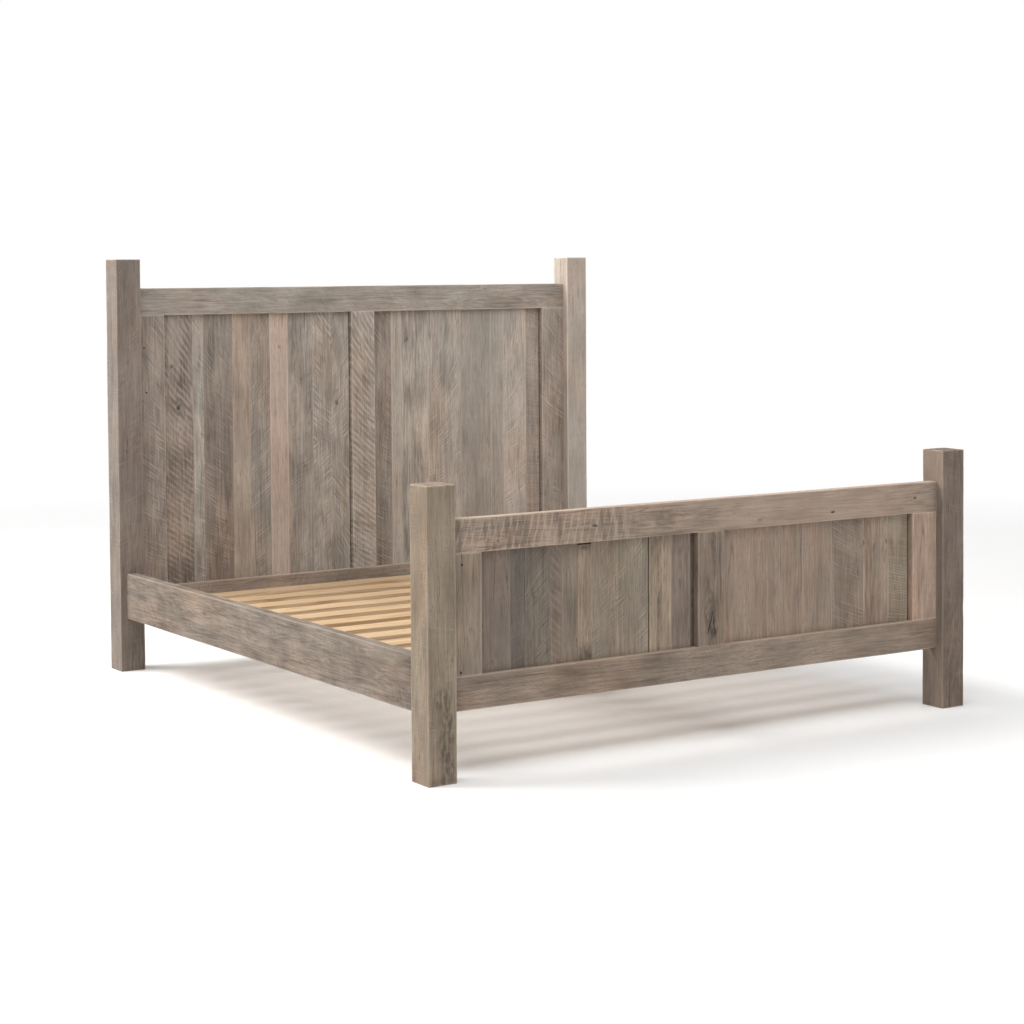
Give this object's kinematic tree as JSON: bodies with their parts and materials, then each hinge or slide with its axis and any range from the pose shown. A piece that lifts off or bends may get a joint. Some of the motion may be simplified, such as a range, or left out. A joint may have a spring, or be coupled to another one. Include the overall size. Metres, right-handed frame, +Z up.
{
  "type": "bed frame",
  "caption": "Panelled bed frame in weathered reclaimed timber with square posts, a tall headboard, a lower footboard, side rails and slats.",
  "frame": {"origin": "on the floor, at the middle of the bed's footprint", "axes": "+X to the right seen from the foot, +Y from the footboard to the headboard, +Z up"},
  "size_m": [2.083, 2.295, 1.512],
  "materials": {
    "post_wood": "weathered, grey-brown, rough sawn",
    "frame_wood": "weathered, grey-brown, with saw marks",
    "side_rail_wood": "weathered, grey-brown, with saw marks",
    "dark_board": "weathered dark grey barn board",
    "grey_board": "weathered grey barn board",
    "brown_board": "weathered brown barn board",
    "tan_board": "weathered tan barn board",
    "pale_board": "weathered pale barn board",
    "support_wood": "plain planed softwood",
    "zinc_steel": "zinc plated",
    "foot_plastic": "matt black"
  },
  "bodies": {
    "bed_frame": {"centre_beam": "support_wood", "centre_legs": "support_wood", "foot_bottom_rail": "frame_wood", "foot_left_board_01": "dark_board", "foot_left_board_02": "dark_board", "foot_left_board_03": "dark_board", "foot_left_board_04": "grey_board", "foot_left_board_05": "brown_board", "foot_left_board_06": "tan_board", "foot_left_board_07": "grey_board", "foot_left_board_08": "pale_board", "foot_left_board_09": "pale_board", "foot_left_board_10": "dark_board", "foot_left_post": "post_wood", "foot_left_stile": "frame_wood", "foot_mullion": "frame_wood", "foot_right_board_01": "brown_board", "foot_right_board_02": "brown_board", "foot_right_board_03": "brown_board", "foot_right_board_04": "dark_board", "foot_right_board_05": "brown_board", "foot_right_board_06": "grey_board", "foot_right_post": "post_wood", "foot_right_stile": "frame_wood", "foot_top_rail": "frame_wood", "head_bottom_rail": "frame_wood", "head_left_board_01": "tan_board", "head_left_board_02": "pale_board", "head_left_board_03": "grey_board", "head_left_board_04": "tan_board", "head_left_board_05": "grey_board", "head_left_board_06": "pale_board", "head_left_board_07": "grey_board", "head_left_board_08": "grey_board", "head_left_post": "post_wood", "head_left_stile": "frame_wood", "head_mullion": "frame_wood", "head_right_board_01": "brown_board", "head_right_board_02": "grey_board", "head_right_board_03": "grey_board", "head_right_board_04": "brown_board", "head_right_board_05": "grey_board", "head_right_board_06": "grey_board", "head_right_board_07": "tan_board", "head_right_board_08": "brown_board", "head_right_post": "post_wood", "head_right_stile": "frame_wood", "head_top_rail": "frame_wood", "ledger_cleats": "support_wood", "left_side_rail": "side_rail_wood", "leg_inserts": "zinc_steel", "mattress_slats": "support_wood", "post_strike_plates": "zinc_steel", "rail_hook_plates": "zinc_steel", "right_side_rail": "side_rail_wood", "wood_screws": "zinc_steel"},
    "front_leveller_foot": {"front_leveller_pad": "foot_plastic"},
    "front_leveller_screw": {"front_leveller_stem": "zinc_steel"},
    "rear_leveller_foot": {"rear_leveller_pad": "foot_plastic"},
    "rear_leveller_screw": {"rear_leveller_stem": "zinc_steel"}
  },
  "joints": [
    {"name": "front_leveller_lift", "type": "slide", "parent": "bed_frame", "child": "front_leveller_foot", "axis": [0, 0, 1], "range_m": [0, 0.012]},
    {"name": "front_leveller_turn", "type": "hinge", "parent": "front_leveller_foot", "child": "front_leveller_screw", "pos_m": [0, -0.1875, 0.01], "axis": [0, 0, 1], "range_deg": [0, 2880]},
    {"name": "rear_leveller_lift", "type": "slide", "parent": "bed_frame", "child": "rear_leveller_foot", "axis": [0, 0, 1], "range_m": [0, 0.012]},
    {"name": "rear_leveller_turn", "type": "hinge", "parent": "rear_leveller_foot", "child": "rear_leveller_screw", "pos_m": [0, 0.4725, 0.01], "axis": [0, 0, 1], "range_deg": [0, 2880]}
  ],
  "couplings": [
    {"joint": "front_leveller_turn", "follows": "front_leveller_lift", "rad_per_m": 4188.7},
    {"joint": "rear_leveller_turn", "follows": "rear_leveller_lift", "rad_per_m": 4188.7}
  ]
}
